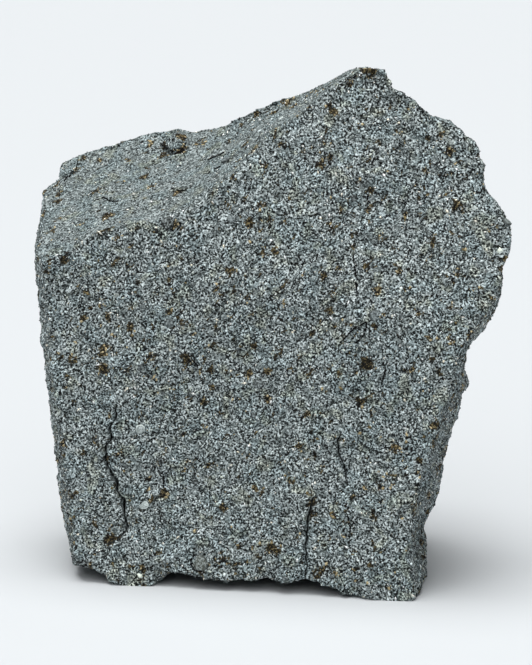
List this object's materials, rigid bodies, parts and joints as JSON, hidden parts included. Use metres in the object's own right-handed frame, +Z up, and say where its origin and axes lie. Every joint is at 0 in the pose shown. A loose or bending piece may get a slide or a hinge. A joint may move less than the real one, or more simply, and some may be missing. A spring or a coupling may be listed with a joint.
{
  "type": "chondrite meteorite",
  "caption": "Broken piece of a grey stony meteorite with a flat front, angular sides, a peak to one side and fine cracks, standing on small low spots of its underside",
  "frame": {"origin": "on the ground, below the middle of the stone's box", "axes": "+Z up and the longest side, broad front face towards -Y, +X to the right seen from the front"},
  "size_m": [0.0536, 0.033, 0.0581],
  "materials": {
    "chondrite_stone": "freshly broken, rough and matt grey stone, finely speckled light and dark, with rust brown spots, bright metal flecks and round grains"
  },
  "bodies": {
    "root": {"meteorite": "chondrite_stone"}
  },
  "joints": []
}
